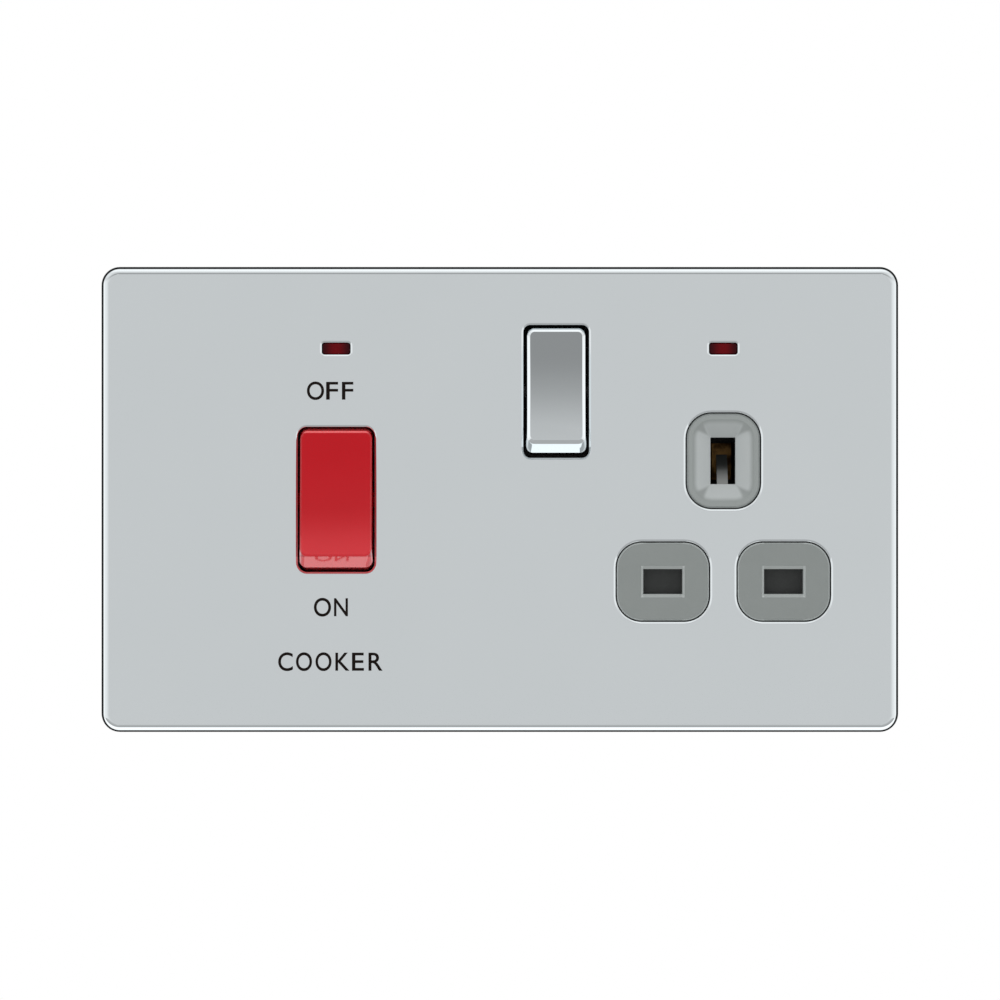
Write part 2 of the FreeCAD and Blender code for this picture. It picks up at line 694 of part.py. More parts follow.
# Ribs, posts and pedestals on the floor of the tray
def base_ribs():
    ribs = [rod(3.0, x, WEB_BACK, z, REAR, FLOOR - WEB_BACK) for x, z in POSTS]
    for side in (-1, 1):
        x = COOKER_X + side * (cooker_tube()[0] / 2 + 1.3)
        ribs.append(slab(x, 0, 1.6, 20, FLANGE_BACK, FLOOR + 1))
        x = SWITCH_X + side * (switch_tube()[0] / 2 + 0.9)
        ribs.append(slab(x, SWITCH_Z - 4.5, 1.6, 12, FLANGE_BACK, FLOOR + 1))
        fin_z = side * (BLOCK_INNER + BASE_TOP) / 2
        ribs.append(slab(BLOCK_MID, fin_z, 1.8, BASE_TOP - BLOCK_INNER, BLOCK_FRONT - 3, FLOOR + 1))
    for x in (LIVE_POLE, NEUTRAL_POLE):
        ribs.append(slab(x, 0, 4, 4, STRAP_Y + STRAP_T, FLOOR + 1))
        ribs.append(slab(x, BUTTON_ARM, 4, 4, STRAP_Y + STRAP_T, FLOOR + 1))
    ribs.append(slab(SWITCH_X, SWITCH_Z, 4, 4, STRAP_Y + STRAP_T, FLOOR + 1))
    ribs.append(slab(SWITCH_X, SWITCH_Z + BUTTON_ARM, 4, 4, STRAP_Y + STRAP_T, FLOOR + 1))
    ribs.append(slab(LIVE_X, PIN_ROW_Z, 5, 5, STRAP_Y + STRAP_T, FLOOR + 1))
    ribs.append(slab(NEUTRAL_X, PIN_ROW_Z, 5, 5, DEEP_Y + STRAP_T, FLOOR + 1))
    ribs.append(slab(SOCKET_X, EARTH_Z, 5, 5, DEEP_Y + STRAP_T, FLOOR + 1))
    shelf_top = bar_span()[0] - SHUTTER_TRAVEL - 0.8
    post = (NEUTRAL_X - 1.5, NEUTRAL_X + 1.5)
    ribs.append(block(*post, GUIDE_BACK, BLOCK_FRONT - 0.5, -BASE_TOP + 1, shelf_top))
    for x, z in socket_posts():
        ribs.append(slab(x, z, 3, 3, GUIDE_BACK, FLOOR + 1))
    for x in (SOCKET_X - 5, SOCKET_X + 4):
        ribs.append(slab(x, PIN_ROW_Z - 3, 1.2, 12, GUIDE_BACK, FLOOR + 1))
    return ribs


def socket_posts():
    side = PIN_PITCH / 2 + 7.6
    top = EARTH_Z + EARTH_HOLE_H / 2 - 0.6
    right = [(SOCKET_X + side, PIN_ROW_Z + dz) for dz in (-6.6, 5.2)]
    left = [(SOCKET_X - side, PIN_ROW_Z + 5.2)]
    return right + left + [(SOCKET_X - 7.6, top), (SOCKET_X + 2.4, top)]


def base():
    tray = base_outline(0, WEB_BACK, BASE_DEPTH)
    tray = tray.cut(base_outline(BASE_WALL, WEB_BACK - 1, FLOOR))
    tray = fused([tray] + base_ribs())
    cuts = []
    for x, z in POSTS:
        cuts.append(rod(1.5, x, WEB_BACK - 1, z, REAR, BASE_DEPTH + 3))
        cuts.append(rod(3.0, x, FLOOR + 0.2, z, REAR, 5))
    for x, z in screw_places():
        cuts.append(rod(3.1, x, FLOOR - 0.5, z, REAR, 5))
    for x, z in cable_ways():
        cuts.append(rod(CABLE_R + 0.6, x, BORE_Y, z, UP if z > 0 else -UP, 9))
    return tray.cut(cuts)


def cable_ways():
    ways = [(x, side * BLOCK_OUTER) for x in (LIVE_BLOCK, NEUTRAL_BLOCK) for side in (-1, 1)]
    return ways + [(x, -BLOCK_OUTER) for x in EARTH_BORES]


def base_screw(x, z):
    start = SKIN_BACK + 0.6
    shank = rod(1.4, x, start, z, REAR, FLOOR + 0.2 - start)
    head = rod(2.6, x, FLOOR + 0.2, z, REAR, 1.6)
    slots = [slab(x, z, 3.4, 0.7, FLOOR + 1.0, FLOOR + 4), slab(x, z, 0.7, 3.4, FLOOR + 1.0, FLOOR + 4)]
    return shank.fuse(head).removeSplitter().cut(slots)


def save_all():
    save("front_plate", front_plate())
    save("clip_frame", clip_frame())
    save("base", base())
    save("base_screws", Part.makeCompound([base_screw(x, z) for x, z in POSTS]))
    save("socket_front", socket_front())
    save("shutter", shutter())
    save("shutter_spring", shutter_spring())
    save("cooker_well", well(COOKER_X, 0, cooker_tube(), 1.2, 1.0, 1.5 + RUN, COOKER_FLANGE, poles()))
    save("socket_well", well(SWITCH_X, SWITCH_Z, switch_tube(), 1.2, 0.8, 1.4 + RUN, SWITCH_FLANGE, (0,)))
    save_switches()
    save_conductors()
    for name, x, resistor_x in zip(("cooker", "socket"), NEON_XS, RESISTOR_XS):
        save(name + "_neon_lens", neon_lens(x))
        save(name + "_neon_lamp", neon_lamp(x))
        save(name + "_neon_resistor", neon_resistor(resistor_x))


def save_switches():
    off = -ROCKER_TILT
    cooker_roof = -COOKER_LIFT + 1.7
    save("cooker_rocker", tilted(cooker_rocker(), COOKER_X, PIVOT_Y, 0, off))
    rods = Part.makeCompound([plunger(x) for x in poles()])
    save("cooker_plungers", tilted(rods, COOKER_X, PIVOT_Y, 0, off))
    springs = Part.makeCompound([plunger_spring(x, cooker_roof) for x in poles()])
    save("cooker_plunger_springs", tilted(springs, COOKER_X, PIVOT_Y, 0, off))
    save("socket_rocker_carrier", tilted(switch_carrier(), SWITCH_X, PIVOT_Y, SWITCH_Z, off))
    save("socket_rocker_cap", tilted(switch_cap(), SWITCH_X, PIVOT_Y, SWITCH_Z, off))
    save("socket_plunger", tilted(plunger(0), SWITCH_X, PIVOT_Y, SWITCH_Z, off))
    save("socket_plunger_spring", tilted(plunger_spring(0, -2.8), SWITCH_X, PIVOT_Y, SWITCH_Z, off))
    save("cooker_live_bar", tilted(contact_bar(0, 5.0), LIVE_POLE, BAR_Y, 0, BAR_TILT))
    save("cooker_neutral_bar", tilted(contact_bar(0, 5.0), NEUTRAL_POLE, BAR_Y, 0, BAR_TILT))
    buttons = Part.makeCompound([moving_button(x) for x in poles()])
    save("cooker_moving_buttons", tilted(buttons, COOKER_X, BAR_Y, 0, BAR_TILT))
    save("socket_contact_bar", tilted(contact_bar(0, 4.0), SWITCH_X, BAR_Y, SWITCH_Z, BAR_TILT))
    save("socket_moving_button", tilted(moving_button(0), SWITCH_X, BAR_Y, SWITCH_Z, BAR_TILT))


def save_conductors():
    save("live_supply_terminal", supply_terminal(LIVE_POLE, LIVE_BLOCK))
    save("neutral_supply_terminal", supply_terminal(NEUTRAL_POLE, NEUTRAL_BLOCK))
    save("live_load_terminal", load_terminal(LIVE_POLE, LIVE_BLOCK))
    save("neutral_load_terminal", load_terminal(NEUTRAL_POLE, NEUTRAL_BLOCK))
    save("terminal_screws", Part.makeCompound([terminal_screw(x, z) for x, z in screw_places()]))
    fixed = [(LIVE_POLE, 0), (NEUTRAL_POLE, 0), (SWITCH_X, SWITCH_Z)]
    save("fixed_contact_buttons", Part.makeCompound([fixed_button(x, z) for x, z in fixed]))
    save("live_feed_bar", live_feed_bar())
    save("live_pin_contact", live_pin_contact())
    save("neutral_pin_contact", neutral_pin_contact())
    save("earth_pin_contact", earth_pin_contact())
    save("earth_terminal", earth_terminal())
    save("plate_earth_strap", plate_earth_strap())


save_all()
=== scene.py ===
import json
import math

import bpy
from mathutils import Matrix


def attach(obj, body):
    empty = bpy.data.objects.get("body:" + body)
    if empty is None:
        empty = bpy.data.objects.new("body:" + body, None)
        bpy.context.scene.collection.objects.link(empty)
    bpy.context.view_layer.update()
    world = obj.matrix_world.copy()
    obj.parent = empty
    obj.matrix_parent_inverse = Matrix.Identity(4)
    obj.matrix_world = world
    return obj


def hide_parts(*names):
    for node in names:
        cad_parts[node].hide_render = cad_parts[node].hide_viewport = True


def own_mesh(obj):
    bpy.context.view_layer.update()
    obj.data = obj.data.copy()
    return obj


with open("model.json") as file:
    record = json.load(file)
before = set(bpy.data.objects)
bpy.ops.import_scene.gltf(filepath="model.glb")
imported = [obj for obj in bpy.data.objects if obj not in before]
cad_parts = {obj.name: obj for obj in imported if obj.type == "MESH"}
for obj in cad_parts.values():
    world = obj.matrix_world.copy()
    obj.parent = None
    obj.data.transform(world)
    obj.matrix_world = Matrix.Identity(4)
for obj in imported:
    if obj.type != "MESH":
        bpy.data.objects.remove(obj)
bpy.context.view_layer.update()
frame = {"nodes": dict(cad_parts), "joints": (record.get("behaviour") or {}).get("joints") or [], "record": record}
joints = {joint["name"]: joint for joint in frame["joints"]}
X, Y, Z = range(3)


# Lowest and highest place of a mesh along an axis
def reach(mesh, axis):
    places = [vertex.co[axis] for vertex in mesh.vertices]
    return min(places), max(places)


def cad_mesh(node):
    return frame["nodes"][node].data


# Places and sizes of the CAD pieces
MM = 0.001
PLATE_FACE_Y = min(reach(cad_mesh("front_plate"), Y))
COOKER_X = sum(reach(cad_mesh("cooker_rocker"), X)) / 2
EARTH_X = sum(reach(cad_mesh("socket_front"), X)) / 2
EARTH_Z = 7.1 * MM
PIN_X = 11.1 * MM
EARTH_SLOT_W = 4.6 * MM
EARTH_SLOT_H = 8.6 * MM
SHUTTER_TRAVEL = max(joints["shutter_slide"]["range_m"])
COIL_GAP = 0.02 * MM

# Tints that follow the CAD faces, mostly painted light and shade: where each starts and ends, and how strong it is
RED_MIDDLE_Z = 0.85 * MM
# Painted light on the red lips fades in over this span
RED_LIP_FADE = (11.25 * MM, 11.5 * MM)
# Painted light on the lower part of the red face fades in over this span
RED_LOWER_LIGHT_FADE = (1.0 * MM, 10.5 * MM)
# Painted light: the earth pad made paler than the pin pads above this height
EARTH_PAD_FADE = (-4.0 * MM, -3.0 * MM)
# Painted light on the funnel's slopes fades in with depth
FUNNEL_DEPTH_FADE = (-4.0 * MM, -3.2 * MM)
# Painted shade in the funnel's corners and on its roof
FUNNEL_CORNER_SPREAD = 0.42
FUNNEL_CORNER_FADE = (-0.2 * MM, 1.0 * MM)
FUNNEL_ROOF_PAINTED_SHADE = 0.45
FUNNEL_ROOF_FADE = (0.0, 0.4 * MM)
FUNNEL_TOP_FADE = (0.0, 1.0 * MM)
# Painted light in the slot mouths, paler at their sides
SLOT_DEPTH_FADE = (-3.99 * MM, -3.88 * MM)
SLOT_CHEEK_FADE = (3.5 * MM, 3.7 * MM)
# Painted light on the foot of the shutter ramp
SHUTTER_FOOT_FADE = (1.6 * MM, 2.2 * MM)
SHUTTER_RAMP_FADE = (0.6 * MM, 4.2 * MM)
LENS_END_FADE = (0.2 * MM, 2.4 * MM)

# Darkest and lightest shade of each finish, then colours that don't vary
CHROME = ((0.860, 0.912, 0.932), (0.880, 0.930, 0.950))
RED_FACE = ((0.445, 0.0015, 0.0070), (0.470, 0.0030, 0.0095))
# Painted light: the lower part of the red face made paler
RED_LOWER_PAINTED_LIGHT = ((0.560, 0.0015, 0.0100), (0.590, 0.0030, 0.0130))
# Painted light: the red lips made paler
RED_LIP_PAINTED_LIGHT = ((0.800, 0.0700, 0.0780), (0.840, 0.0760, 0.0840))
GREY_PIN_PADS = ((0.205, 0.225, 0.218), (0.221, 0.241, 0.234))
# Painted light: the earth pad, same moulding as the pin pads, made paler
GREY_EARTH_PAD_PAINTED_LIGHT = ((0.250, 0.272, 0.266), (0.266, 0.288, 0.282))
# Painted light: the funnel's slopes made paler
GREY_SLOPE_PAINTED_LIGHT = ((0.415, 0.442, 0.442), (0.435, 0.462, 0.462))
# Painted shade: the funnel's corners and roof made darker
GREY_PAINTED_SHADE = ((0.260, 0.280, 0.276), (0.280, 0.300, 0.296))
# Painted light: the slot mouths made paler, their sides more than top and bottom
GREY_SLOT_LIPS_PAINTED_LIGHT = ((0.330, 0.356, 0.348), (0.350, 0.376, 0.368))
GREY_SLOT_CHEEKS_PAINTED_LIGHT = ((0.420, 0.450, 0.442), (0.440, 0.470, 0.462))
SHUTTER_GREY = ((0.031, 0.034, 0.033), (0.041, 0.044, 0.043))
# Painted light: the foot of the shutter ramp made paler
SHUTTER_RAMP_PAINTED_LIGHT = ((0.36, 0.37, 0.36), (0.42, 0.43, 0.42))
BLACK = ((0.015, 0.015, 0.016), (0.023, 0.023, 0.024))
RESISTOR_TAN = ((0.42, 0.29, 0.15), (0.54, 0.40, 0.24))
# Brass with tarnish patches, its whole colour darkened as painted shade of the deep slots
BRASS_TARNISH_AND_SHADE = ((0.035, 0.017, 0.006), (0.30, 0.170, 0.058))
SILVER = ((0.72, 0.71, 0.68), (0.84, 0.83, 0.80))
SCREW_STEEL = ((0.50, 0.50, 0.49), (0.66, 0.66, 0.64))
SPRING_STEEL = ((0.38, 0.38, 0.39), (0.52, 0.52, 0.53))
LENS_MIDDLE = ((0.095, 0.0010, 0.0030), (0.125, 0.0020, 0.0045))
LENS_ENDS = ((0.024, 0.0014, 0.0030), (0.034, 0.0024, 0.0042))
INK = ((0.006, 0.004, 0.0035), (0.012, 0.008, 0.0065))
PAPER = ((0.80, 0.80, 0.80), (0.83, 0.83, 0.83))
CLEAR_GLASS = (0.92, 0.90, 0.86, 1.0)
WHITE = (1, 1, 1, 1)

# Grain of the mouldings, and the tarnish on brass
MOULD_SPECK = {"scale": 260, "detail": 3.0}
MOULD_TEXTURE = {"scale": 4200, "detail": 4.0}
MOULD_SMEARS = {"scale": 800}
MOULD_DEPTH = 0.03 * MM
TARNISH_FADE = (0.36, 0.66)

# Rounding of sharp edges: piece, body, finish and greatest width in millimetres
SOFT_EDGES = (
    ("front_plate", "unit", "polished_chrome", 0.16),
    ("cooker_rocker", "cooker_switch_rocker", "red_plastic", 0.30),
    ("socket_rocker_cap", "socket_switch_rocker", "polished_chrome", 0.25),
    ("socket_front", "unit", "grey_plastic", 0.12),
    ("base", "unit", "black_plastic", 0.25),
    ("cooker_neon_lens", "unit", "red_lens", 0.12),
    ("socket_neon_lens", "unit", "red_lens", 0.12),
)
MERGE_GAP = 0.002 * MM
FLAT_TURN = math.radians(0.5)
SHARP_TURN = math.radians(25)
SMOOTH_TURN = math.radians(35)
EDGE_STEPS = 3

# Words on the plate, in millimetres: middle line, height of round letters, and the middle and
# width of each letter
WORDS = {
    "OFF": (19.95, 3.4, ((-33.85, 3.15), (-30.80, 2.2), (-27.95, 2.1))),
    "ON": (-19.8, 3.45, ((-32.57, 3.15), (-29.17, 2.55))),
    "COOKER": (-29.8, 3.45, (
        (-39.35, 2.70), (-35.96, 2.95), (-32.38, 2.95), (-28.90, 2.6), (-26.05, 2.2), (-22.82, 2.6),
    )),
}
ROUND_LETTERS = "CO"
FLAT_LETTER_DROP = 0.13
TYPE_SIZE = 5.0 * MM
INK_SPREAD = 0.05 * MM
INK_HALF_THICKNESS = 0.02 * MM

# Floor, and what mirrors see of it from front to back
FLOOR_RADIUS = 0.35
FLOOR_Z = -0.125
FLOOR_SIDES = 96
FLOOR_FRONT_LEVEL = 0.60
FLOOR_FRONT_DROP = 0.21
FLOOR_FRONT_FADE = (-0.32, -0.075)
FLOOR_STRIP_LEVEL = 1.15
FLOOR_STRIP_START = (-0.072, -0.060)
FLOOR_STRIP_END = (0.006, 0.026)

# Light around the object, by the direction in which a mirror looks
DARK_LEVEL = 0.015
DARK_START = (-0.02, 0.16)
DARK_END = (0.82, 0.95)
FRONT_LEVEL = 0.62
UPPER_BAND_DROP = 0.33
UPPER_BAND_START = (0.20, 0.40)
UPPER_BAND_END = (0.44, 0.56)
BOX_LEVEL = 1.06
SIDE_BOX_SHARE = 0.62
SIDE_BOX_FADE = (0.03, 0.92)
SIDE_EDGE_FADE = (0.90, 1.0)
TOP_BOX_FADE = (0.6, 0.95)
LOW_BOX_FADE = (0.4, 0.8)
DIFFUSE_LEVEL = 0.72

# Lamps: name, place, size and power
LAMPS = (
    ("key", (-0.35, -0.7, 0.75), 0.6, 1.8),
    ("fill", (0.6, -0.6, 0.2), 0.6, 0.8),
    ("low", (0, -0.45, -0.09), 0.25, 0.5),
)

# Camera
CAMERA_DISTANCE = 1.2
CAMERA_X = 0.03 * MM
CAMERA_Z = -0.11 * MM
SENSOR_WIDTH = 36.0
PICTURE_WIDTH = 183.62 * MM

# Sockets of the Mix node for colours
MIX_FACTOR, MIX_FIRST, MIX_SECOND, MIX_RESULT = 0, 6, 7, 2


# Shader socket with arithmetic
class Flow:
    def __init__(self, tree, socket):
        self.tree = tree
        self.socket = socket

    def maths(self, operation, first, second):
        settings = {"operation": operation}
        return make_node(self.tree, "ShaderNodeMath", settings, {0: first, 1: second})

    def __add__(self, other):
        return self.maths("ADD", self, other)

    def __radd__(self, other):
        return self.maths("ADD", other, self)

    def __sub__(self, other):
        return self.maths("SUBTRACT", self, other)

    def __rsub__(self, other):
        return self.maths("SUBTRACT", other, self)

    def __mul__(self, other):
        return self.maths("MULTIPLY", self, other)

    def __rmul__(self, other):
        return self.maths("MULTIPLY", other, self)

    def __abs__(self):
        return self.maths("ABSOLUTE", self, 0.0)

    def step(self, low, high):
        settings = {"interpolation_type": "SMOOTHSTEP"}
        inputs = {"Value": self, "From Min": low, "From Max": high}
        return make_node(self.tree, "ShaderNodeMapRange", settings, inputs)

    def most(self, other):
        return self.maths("MAXIMUM", self, other)


def make_node(tree, kind, settings=None, inputs=None, out=0):
    node = tree.nodes.new(kind)
    for key, value in (settings or {}).items():
        setattr(node, key, value)
    for key, value in (inputs or {}).items():
        if isinstance(value, Flow):
            tree.links.new(value.socket, node.inputs[key])
        else:
            node.inputs[key].default_value = value
    return Flow(tree, node.outputs[out]) if node.outputs else node


# Material under construction, read in the piece's own coordinates
class Finish:
    def __init__(self, name):
        self.material = bpy.data.materials.new(name)
        self.material.use_nodes = True
        self.tree = self.material.node_tree
        self.tree.nodes.clear()
        self.place = self.node("ShaderNodeTexCoord", out="Object")

    def node(self, kind, settings=None, inputs=None, out=0):
        return make_node(self.tree, kind, settings, inputs, out)

    def along(self, axis):
        return self.node("ShaderNodeSeparateXYZ", inputs={0: self.place}, out=axis)

    def grain(self, scale, detail=2.0, stretch=(1, 1, 1)):
        mapped = self.node("ShaderNodeMapping", inputs={"Vector": self.place, "Scale": stretch})
        inputs = {"Vector": mapped, "Scale": scale, "Detail": detail}
        return self.node("ShaderNodeTexNoise", {"noise_dimensions": "3D"}, inputs, "Fac")

    def blend(self, mask, first, second):
        inputs = {MIX_FACTOR: mask, MIX_FIRST: first, MIX_SECOND: second}
        return self.node("ShaderNodeMix", {"data_type": "RGBA"}, inputs, MIX_RESULT)

    def shades(self, mask, pair):
        dark, light = pair
        return self.blend(mask, (*dark, 1.0), (*light, 1.0))

    def bump(self, height, depth, strength):
        inputs = {"Height": height, "Distance": depth, "Strength": strength}
        return self.node("ShaderNodeBump", inputs=inputs)

    def surface(self, **inputs):
        named = {key.replace("_", " "): value for key, value in inputs.items()}
        shader = self.node("ShaderNodeBsdfPrincipled", inputs=named)
        self.node("ShaderNodeOutputMaterial", inputs={"Surface": shader})
        return self.material

    def moulded_surface(self, colour, rough):
        normal = self.bump(self.grain(**MOULD_TEXTURE), MOULD_DEPTH, strength=0.5)
        rough = rough + self.grain(**MOULD_SMEARS) * 0.12
        return self.surface(Base_Color=colour, Roughness=rough, Normal=normal)


def polished_chrome():
    finish = Finish("polished_chrome")
    colour = finish.shades(finish.grain(scale=60), CHROME)
    rough = 0.035 + finish.grain(scale=900, detail=3.0) * 0.03
    return finish.surface(Base_Color=colour, Metallic=1.0, Roughness=rough)


# Red rocker, glossier towards its lower end and on its lips, where painted light also makes it paler
def red_plastic():
    finish = Finish("red_plastic")
    height = finish.along("Z")
    # Painted light: the lips at both ends made paler
    lips = abs(height - RED_MIDDLE_Z).step(*RED_LIP_FADE)
    # Painted light: the red face made paler towards its lower end
    lit_lower_face = (0 - height).step(*RED_LOWER_LIGHT_FADE)
    speck = finish.grain(scale=140)
    face = finish.blend(lit_lower_face, finish.shades(speck, RED_FACE), finish.shades(speck, RED_LOWER_PAINTED_LIGHT))
    return finish.surface(
        Base_Color=finish.blend(lips, face, finish.shades(speck, RED_LIP_PAINTED_LIGHT)),
        Roughness=0.08 + finish.grain(scale=700, detail=3.0) * 0.06,
        Normal=finish.bump(finish.grain(scale=5200, detail=3.0), 0.02 * MM, strength=0.12),
        Coat_Weight=lips.most(lit_lower_face),
        Coat_Roughness=0.05,
    )


# Grey moulding with painted light on the earth pad, the funnel and the slot mouths, and painted shade on the
# funnel's corners and roof
def grey_plastic():
    finish = Finish("grey_plastic")
    speck = finish.grain(**MOULD_SPECK)
    deep, height = finish.along("Y"), finish.along("Z")
    off_middle = abs(finish.along("X") - EARTH_X)
    upper = height.step(*EARTH_PAD_FADE)

    beside = off_middle - EARTH_SLOT_W / 2
    above = abs(height - EARTH_Z) - EARTH_SLOT_H / 2
    # Painted shade: masks that darken the funnel's corners and roof
    nearness = FUNNEL_CORNER_SPREAD * (beside + above) - abs(beside - above)
    corners = nearness.step(*FUNNEL_CORNER_FADE) * upper
    top = (height - EARTH_Z).step(*FUNNEL_TOP_FADE)
    roof = (above - beside).step(*FUNNEL_ROOF_FADE) * top * (1 - corners)
    # Painted light for the funnel's slopes, painted shade for its corners and roof
    slope, shade = finish.shades(speck, GREY_SLOPE_PAINTED_LIGHT), finish.shades(speck, GREY_PAINTED_SHADE)
    funnel = finish.blend(corners.most(roof * FUNNEL_ROOF_PAINTED_SHADE), slope, shade)

    # Painted light in the slot mouths, paler at their sides
    cheek = abs(off_middle - PIN_X).step(*SLOT_CHEEK_FADE)
    lips, cheeks = finish.shades(speck, GREY_SLOT_LIPS_PAINTED_LIGHT), finish.shades(speck, GREY_SLOT_CHEEKS_PAINTED_LIGHT)
    mouth = finish.blend(cheek, lips, cheeks)

    # Painted light: the earth pad made paler than the pin pads
    pin_pads, lit_earth_pad = finish.shades(speck, GREY_PIN_PADS), finish.shades(speck, GREY_EARTH_PAD_PAINTED_LIGHT)
    pad = finish.blend(upper, pin_pads, lit_earth_pad)
    hollow = finish.blend(upper, mouth, funnel)
    inside = deep.step(*SLOT_DEPTH_FADE) * (1 - upper) + deep.step(*FUNNEL_DEPTH_FADE) * upper
    return finish.moulded_surface(finish.blend(inside, pad, hollow), rough=0.30)


# Shutter moulding, with painted light making the foot of the ramp paler
def shutter_plastic():
    finish = Finish("dark_grey_plastic")
    speck = finish.grain(**MOULD_SPECK)
    ramp = 1 - finish.along("Y").step(*SHUTTER_RAMP_FADE)
    foot = finish.along("Z").step(*SHUTTER_FOOT_FADE) * ramp
    plain, ramp_light = finish.shades(speck, SHUTTER_GREY), finish.shades(speck, SHUTTER_RAMP_PAINTED_LIGHT)
    return finish.moulded_surface(finish.blend(foot, plain, ramp_light), rough=0.45)


def moulded(name, pair, rough):
    finish = Finish(name)
    return finish.moulded_surface(finish.shades(finish.grain(**MOULD_SPECK), pair), rough)


# Rolled brass with tarnish patches, its colour darkened as painted shade of the deep slots
def rolled_brass():
    finish = Finish("rolled_brass")
    tarnish = finish.grain(scale=380, detail=4.0)
    lines = finish.grain(scale=500, detail=4.0, stretch=(1, 1, 9))
    return finish.surface(
        Base_Color=finish.shades(tarnish.step(*TARNISH_FADE), BRASS_TARNISH_AND_SHADE),
        Metallic=1.0,
        Roughness=0.24 + tarnish * 0.16,
        Normal=finish.bump(lines, 0.02 * MM, strength=0.4),
    )


def plated_metal(name, pair, rough):
    finish = Finish(name)
    patches = finish.grain(scale=420, detail=4.0)
    return finish.surface(
        Base_Color=finish.shades(patches, pair),
        Metallic=1.0,
        Roughness=rough + patches * 0.15,
        Normal=finish.bump(finish.grain(scale=2600, detail=3.0), 0.02 * MM, strength=0.3),
    )


# Red plastic of both neon lenses, darker towards the ends
def red_lens():
    finish = Finish("red_lens")
    halfway, half_gap = (EARTH_X + COOKER_X) / 2, (EARTH_X - COOKER_X) / 2
    off_middle = abs(abs(finish.along("X") - halfway) - half_gap)
    speck = finish.grain(scale=500, detail=3.0)
    middle, ends = finish.shades(speck, LENS_MIDDLE), finish.shades(speck, LENS_ENDS)
    return finish.surface(
        Base_Color=finish.blend(off_middle.step(*LENS_END_FADE), middle, ends),
        Roughness=0.10 + finish.grain(scale=600) * 0.08,
        Specular_IOR_Level=0.08,
    )


def lamp_glass():
    finish = Finish("lamp_glass")
    return finish.surface(
        Base_Color=CLEAR_GLASS,
        Roughness=0.04 + finish.grain(scale=300) * 0.04,
        Transmission_Weight=0.9,
        IOR=1.5,
    )


def printed_ink():
    finish = Finish("printed_ink")
    return finish.surface(
        Base_Color=finish.shades(finish.grain(scale=900, detail=3.0), INK),
        Roughness=0.6 + finish.grain(scale=1500) * 0.15,
        Specular_IOR_Level=0.05,
    )


FINISHES = {
    "polished_chrome": polished_chrome(),
    "red_plastic": red_plastic(),
    "grey_plastic": grey_plastic(),
    "black_plastic": moulded("black_plastic", BLACK, rough=0.40),
    "dark_grey_plastic": shutter_plastic(),
    "brass": rolled_brass(),
    "contact_silver": plated_metal("contact_silver", SILVER, rough=0.22),
    "screw_steel": plated_metal("screw_steel", SCREW_STEEL, rough=0.26),
    "spring_steel": plated_metal("spring_steel", SPRING_STEEL, rough=0.24),
    "red_lens": red_lens(),
    "lamp_glass": lamp_glass(),
    "resistor_body": moulded("resistor_body", RESISTOR_TAN, rough=0.38),
}
INK_FINISH = printed_ink()


def dress_nodes():
    for part in frame["record"]["subparts"]:
        mesh = cad_mesh(part["node"])
        mesh.materials.clear()
        mesh.materials.append(FINISHES[part["material_slot"]])


# Copy of a CAD piece with its sharp edges rounded
def softened(name, body, edge):
    bpy.ops.object.select_all(action="DESELECT")
    shell = bpy.data.objects.new(name + "_shell", cad_mesh(name).copy())
    bpy.context.scene.collection.objects.link(shell)
    bpy.context.view_layer.objects.active = shell
    shell.select_set(True)
    bpy.ops.object.mode_set(mode="EDIT")
    bpy.ops.mesh.select_all(action="SELECT")
    bpy.ops.mesh.customdata_custom_splitnormals_clear()
    bpy.ops.mesh.remove_doubles(threshold=MERGE_GAP)
    bpy.ops.mesh.dissolve_limited(angle_limit=FLAT_TURN)
    bpy.ops.object.mode_set(mode="OBJECT")
    bpy.ops.object.modifier_add(type="BEVEL")
    bevel = shell.modifiers[-1]
    bevel.width = edge
    bevel.segments = EDGE_STEPS
    bevel.limit_method = "ANGLE"
    bevel.angle_limit = SHARP_TURN
    bpy.ops.object.modifier_apply(modifier=bevel.name)
    bpy.ops.object.shade_smooth_by_angle(angle=SMOOTH_TURN)
    bpy.ops.object.modifier_add(type="WEIGHTED_NORMAL")
    weighted = shell.modifiers[-1]
    weighted.keep_sharp = True
    bpy.ops.object.modifier_apply(modifier=weighted.name)
    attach(shell, body)
    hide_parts(name)


# Copy of the shutter's spring in place of the CAD spring; the share of its length to keep is worked out but not
# used
def sprung_coil():
    coil = bpy.data.objects.new("shutter_spring_coil", cad_mesh("shutter_spring").copy())
    bpy.context.scene.collection.objects.link(coil)
    foot, top = reach(coil.data, Z)
    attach(coil, "unit")
    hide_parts("shutter_spring")
    kept = 1 - (SHUTTER_TRAVEL + COIL_GAP) / (top - foot)
    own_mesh(coil)


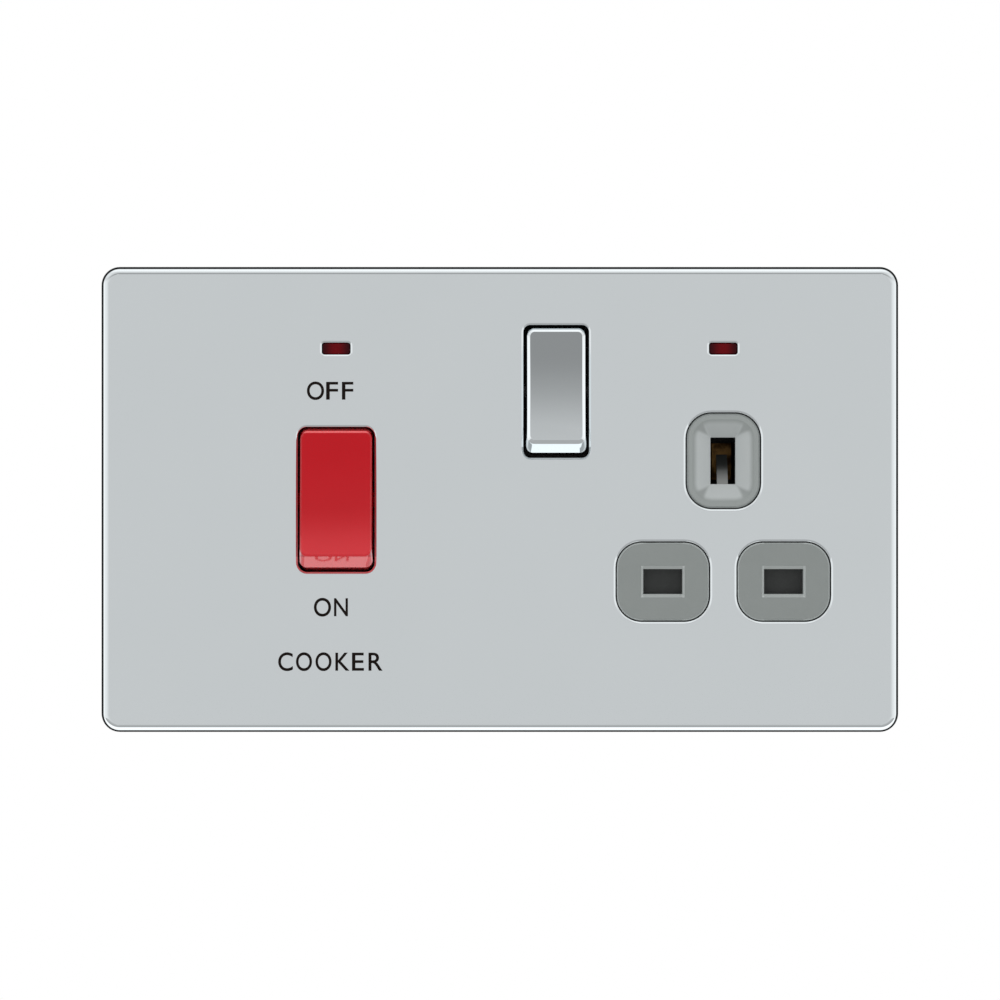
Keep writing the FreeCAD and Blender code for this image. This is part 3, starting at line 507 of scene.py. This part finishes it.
# Letter printed on the plate, drawn to its own width and height
def printed_letter(name, letter, x, z, width, height):
    bpy.ops.object.select_all(action="DESELECT")
    bpy.ops.object.text_add(location=(0, 0, 0))
    text = bpy.context.object
    text.data.body = letter
    text.data.size = TYPE_SIZE
    text.data.extrude = INK_HALF_THICKNESS
    text.data.offset = INK_SPREAD
    bpy.ops.object.convert(target="MESH")
    text.name = name
    (left, right), (low, high) = reach(text.data, X), reach(text.data, Y)
    middle = ((left + right) / 2, (low + high) / 2)
    fit = (width / (right - left), height / (high - low))
    bpy.ops.object.mode_set(mode="EDIT")
    bpy.ops.mesh.select_all(action="SELECT")
    bpy.ops.transform.translate(value=(-middle[0], -middle[1], 0))
    bpy.ops.transform.resize(value=(fit[0], fit[1], 1), center_override=(0, 0, 0))
    bpy.ops.object.mode_set(mode="OBJECT")
    text.rotation_euler = (math.pi / 2, 0, 0)
    text.location = (x, PLATE_FACE_Y - INK_HALF_THICKNESS, z)
    bpy.ops.object.transform_apply(location=True, rotation=True, scale=True)
    text.data.materials.clear()
    text.data.materials.append(INK_FINISH)
    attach(text, "unit")


def printed_word(word, z, height, spans):
    for index, (letter, (x, width)) in enumerate(zip(word, spans)):
        name = "print_%s_%d" % (word.lower(), index + 1)
        tall = height if letter in ROUND_LETTERS else height - FLAT_LETTER_DROP
        printed_letter(name, letter, x * MM, z * MM, width * MM, tall * MM)


dress_nodes()
for name, body, slot, edge in SOFT_EDGES:
    softened(name, body, edge * MM)
sprung_coil()
for word, (z, height, spans) in WORDS.items():
    printed_word(word, z, height, spans)


# Pale paper that mirrors see as a dim front part, a bright strip under the plate and a dark back
def studio_floor():
    bpy.ops.object.select_all(action="DESELECT")
    bpy.ops.mesh.primitive_circle_add(
        vertices=FLOOR_SIDES, radius=FLOOR_RADIUS, fill_type="NGON", location=(0, 0, FLOOR_Z))
    floor = bpy.context.object
    floor.name = "studio_floor"
    finish = Finish("studio_floor")
    colour = finish.shades(finish.grain(scale=4), PAPER)
    paper = finish.node("ShaderNodeBsdfPrincipled", inputs={"Base Color": colour, "Roughness": 0.6})
    depth = finish.along("Y")
    near = depth.step(*FLOOR_STRIP_START)
    strip = near * (1 - depth.step(*FLOOR_STRIP_END))
    front = FLOOR_FRONT_LEVEL - FLOOR_FRONT_DROP * depth.step(*FLOOR_FRONT_FADE)
    level = DARK_LEVEL + front * (1 - near) + FLOOR_STRIP_LEVEL * strip
    glow = finish.node("ShaderNodeEmission", inputs={"Color": WHITE, "Strength": level})
    mirrored = finish.node("ShaderNodeLightPath", out="Is Glossy Ray")
    blend = finish.node("ShaderNodeMixShader", inputs={0: mirrored, 1: paper, 2: glow})
    finish.node("ShaderNodeOutputMaterial", inputs={"Surface": blend})
    floor.data.materials.append(finish.material)


# White to the camera, plain for matt surfaces, and soft boxes before a dark ring for mirrors
def studio_world():
    world = bpy.data.worlds.new("studio_world")
    bpy.context.scene.world = world
    world.use_nodes = True
    tree = world.node_tree
    tree.nodes.clear()
    camera_ray, mirror_ray, glass_ray = (
        make_node(tree, "ShaderNodeLightPath", out=kind)
        for kind in ("Is Camera Ray", "Is Glossy Ray", "Is Transmission Ray"))
    direction = make_node(tree, "ShaderNodeTexCoord", out="Generated")
    across, back, up = (
        make_node(tree, "ShaderNodeSeparateXYZ", inputs={0: direction}, out=axis) for axis in "XYZ")
    side = abs(across)
    side_boxes = SIDE_BOX_SHARE * side.step(*SIDE_BOX_FADE)
    side_edges = (1 - SIDE_BOX_SHARE) * side.step(*SIDE_EDGE_FADE)
    ends = up.step(*TOP_BOX_FADE).most((0 - up).step(*LOW_BOX_FADE))
    boxes = (side_boxes + side_edges).most(ends)
    upper_band = up.step(*UPPER_BAND_START) * (1 - up.step(*UPPER_BAND_END))
    front = FRONT_LEVEL - UPPER_BAND_DROP * upper_band
    dark = back.step(*DARK_START) * (1 - back.step(*DARK_END))
    bright = front * (1 - boxes) + boxes * BOX_LEVEL
    mirrored = bright * (1 - dark) + dark * DARK_LEVEL
    seen = camera_ray.most(glass_ray)
    lit = mirror_ray * mirrored + (1 - mirror_ray) * DIFFUSE_LEVEL
    level = seen + (1 - seen) * lit
    shader = make_node(tree, "ShaderNodeBackground", inputs={"Color": WHITE, "Strength": level})
    make_node(tree, "ShaderNodeOutputWorld", inputs={"Surface": shader})


def studio_lamp(name, place, size, power):
    data = bpy.data.lights.new(name, "AREA")
    data.size = size
    data.energy = power
    lamp = bpy.data.objects.new(name, data)
    bpy.context.scene.collection.objects.link(lamp)
    lamp.location = place
    lamp.rotation_euler = (-lamp.location).to_track_quat("-Z", "Y").to_euler()
    lamp.visible_glossy = False


# Camera square on, with the photo's width at the face of the plate
def studio_camera():
    data = bpy.data.cameras.new("photo_camera")
    data.sensor_width = SENSOR_WIDTH
    data.lens = SENSOR_WIDTH * (CAMERA_DISTANCE + PLATE_FACE_Y) / PICTURE_WIDTH
    camera = bpy.data.objects.new("photo_camera", data)
    bpy.context.scene.collection.objects.link(camera)
    camera.location = (CAMERA_X, -CAMERA_DISTANCE, CAMERA_Z)
    camera.rotation_euler = (math.pi / 2, 0, 0)
    bpy.context.scene.camera = camera


studio_floor()
studio_world()
for name, place, size, power in LAMPS:
    studio_lamp(name, place, size, power)
studio_camera()
bpy.context.scene.view_settings.view_transform = "Standard"
